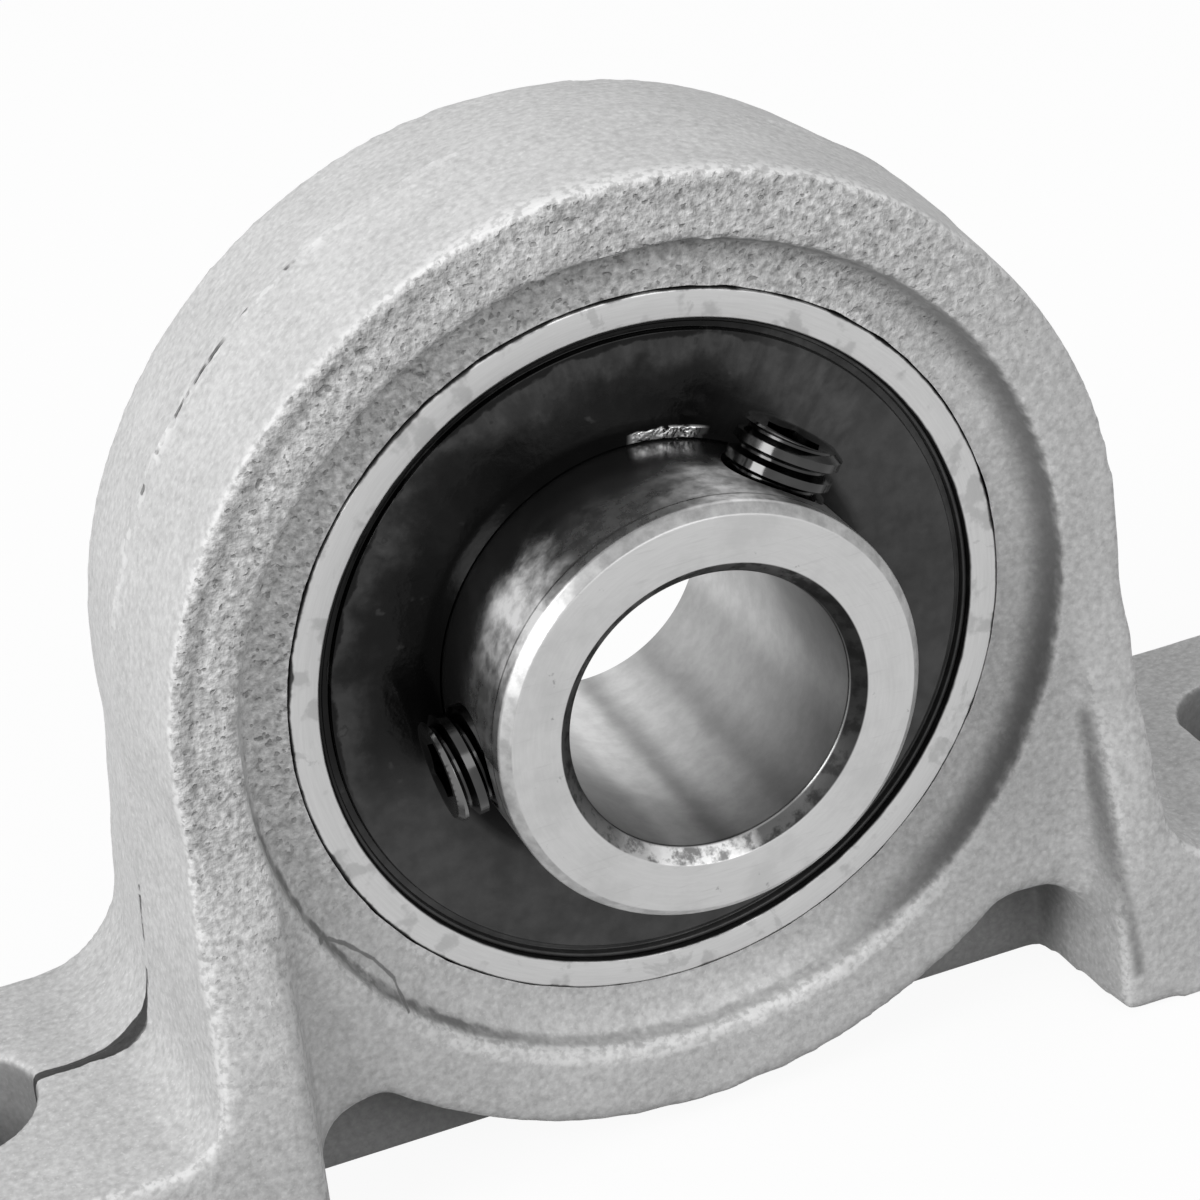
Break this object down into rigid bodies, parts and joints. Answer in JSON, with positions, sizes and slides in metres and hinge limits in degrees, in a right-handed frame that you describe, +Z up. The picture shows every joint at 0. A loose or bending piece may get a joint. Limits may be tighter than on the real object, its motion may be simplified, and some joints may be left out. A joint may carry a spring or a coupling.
{
  "type": "pillow block bearing",
  "caption": "Small cast pillow block that holds a self-aligning sealed ball bearing insert, which grips its shaft with set screws.",
  "frame": {"origin": "on the underside of the base, straight below the centre of the bore", "axes": "+Z up through the bore, +X along the base, -Y out of the front where the set screws are"},
  "size_m": [0.055, 0.0137, 0.0293],
  "materials": {
    "cast_alloy": "matt grainy die casting with a faint parting line",
    "ground_steel": "fine ground",
    "turned_steel": "ground, polished sleeve, oily",
    "seal_rubber": "moulded, smeared with grease",
    "stiffener_steel": "plain sheet",
    "blackened_screw": "black oxide, oily",
    "cage_steel": "pressed sheet",
    "ball_steel": "mirror"
  },
  "bodies": {
    "housing": {"housing": "cast_alloy"},
    "outer_ring": {"outer_ring": "ground_steel", "seal_front": "seal_rubber", "seal_back": "seal_rubber", "seal_stiffener_front": "stiffener_steel", "seal_stiffener_back": "stiffener_steel"},
    "inner_ring": {"inner_ring": "turned_steel"},
    "set_screw_upper": {"set_screw_upper": "blackened_screw"},
    "set_screw_side": {"set_screw_side": "blackened_screw"},
    "cage": {"cage_front": "cage_steel", "cage_back": "cage_steel", "cage_rivets": "cage_steel"},
    "ball_1": {"ball_1": "ball_steel"},
    "ball_2": {"ball_2": "ball_steel"},
    "ball_3": {"ball_3": "ball_steel"},
    "ball_4": {"ball_4": "ball_steel"},
    "ball_5": {"ball_5": "ball_steel"},
    "ball_6": {"ball_6": "ball_steel"},
    "ball_7": {"ball_7": "ball_steel"}
  },
  "joints": [
    {"name": "insert_tilt", "type": "hinge", "parent": "housing", "child": "outer_ring", "pos_m": [0, 0, 0.015], "axis": [1, 0, 0], "range_deg": [-3, 3]},
    {"name": "shaft_spin", "type": "hinge", "parent": "outer_ring", "child": "inner_ring", "pos_m": [0, 0, 0.015], "axis": [0, -1, 0], "continuous": true},
    {"name": "cage_spin", "type": "hinge", "parent": "outer_ring", "child": "cage", "pos_m": [0, 0, 0.015], "axis": [0, -1, 0], "continuous": true},
    {"name": "set_screw_upper_travel", "type": "slide", "parent": "inner_ring", "child": "set_screw_upper", "axis": [0.5446, 0, 0.8387], "range_m": [-0.0008, 0.0012]},
    {"name": "set_screw_side_travel", "type": "slide", "parent": "inner_ring", "child": "set_screw_side", "axis": [-0.9925, 0, -0.1219], "range_m": [-0.0006, 0.0012]},
    {"name": "ball_1_spin", "type": "hinge", "parent": "cage", "child": "ball_1", "pos_m": [0, 0, 0.0225], "axis": [0, -1, 0], "continuous": true},
    {"name": "ball_2_spin", "type": "hinge", "parent": "cage", "child": "ball_2", "pos_m": [-0.00586, 0, 0.01968], "axis": [0, -1, 0], "continuous": true},
    {"name": "ball_3_spin", "type": "hinge", "parent": "cage", "child": "ball_3", "pos_m": [-0.00731, 0, 0.01333], "axis": [0, -1, 0], "continuous": true},
    {"name": "ball_4_spin", "type": "hinge", "parent": "cage", "child": "ball_4", "pos_m": [-0.00325, 0, 0.00824], "axis": [0, -1, 0], "continuous": true},
    {"name": "ball_5_spin", "type": "hinge", "parent": "cage", "child": "ball_5", "pos_m": [0.00325, 0, 0.00824], "axis": [0, -1, 0], "continuous": true},
    {"name": "ball_6_spin", "type": "hinge", "parent": "cage", "child": "ball_6", "pos_m": [0.00731, 0, 0.01333], "axis": [0, -1, 0], "continuous": true},
    {"name": "ball_7_spin", "type": "hinge", "parent": "cage", "child": "ball_7", "pos_m": [0.00586, 0, 0.01968], "axis": [0, -1, 0], "continuous": true}
  ],
  "couplings": [
    {"joint": "cage_spin", "follows": "shaft_spin", "ratio": 0.3677},
    {"joint": "ball_1_spin", "follows": "shaft_spin", "ratio": -1.7574},
    {"joint": "ball_2_spin", "follows": "shaft_spin", "ratio": -1.7574},
    {"joint": "ball_3_spin", "follows": "shaft_spin", "ratio": -1.7574},
    {"joint": "ball_4_spin", "follows": "shaft_spin", "ratio": -1.7574},
    {"joint": "ball_5_spin", "follows": "shaft_spin", "ratio": -1.7574},
    {"joint": "ball_6_spin", "follows": "shaft_spin", "ratio": -1.7574},
    {"joint": "ball_7_spin", "follows": "shaft_spin", "ratio": -1.7574}
  ]
}
